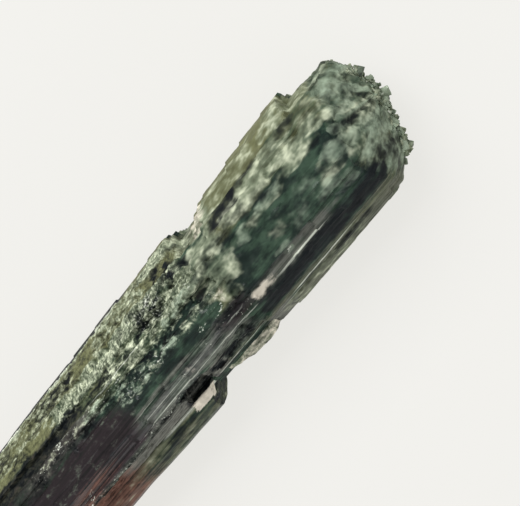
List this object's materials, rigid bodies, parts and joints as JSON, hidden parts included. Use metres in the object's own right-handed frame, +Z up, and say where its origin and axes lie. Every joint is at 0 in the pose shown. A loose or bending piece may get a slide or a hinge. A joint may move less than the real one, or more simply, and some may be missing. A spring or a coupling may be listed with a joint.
{
  "type": "tourmaline crystal",
  "caption": "Long striated tourmaline pencil crystal with a smaller crystal grown along one side and a rough domed tip, lying on a flat long face.",
  "frame": {"origin": "centre of the bounding box at its bottom, on the flat face the crystal lies on", "axes": "+X along the crystal towards its rough domed tip, +Z up, -Y to the side with the smaller crystal"},
  "size_m": [0.0523, 0.0116, 0.0101],
  "materials": {
    "tourmaline": "vitreous faces, frosted and granular where etched"
  },
  "bodies": {
    "root": {"tourmaline_crystal": "tourmaline"}
  },
  "joints": []
}
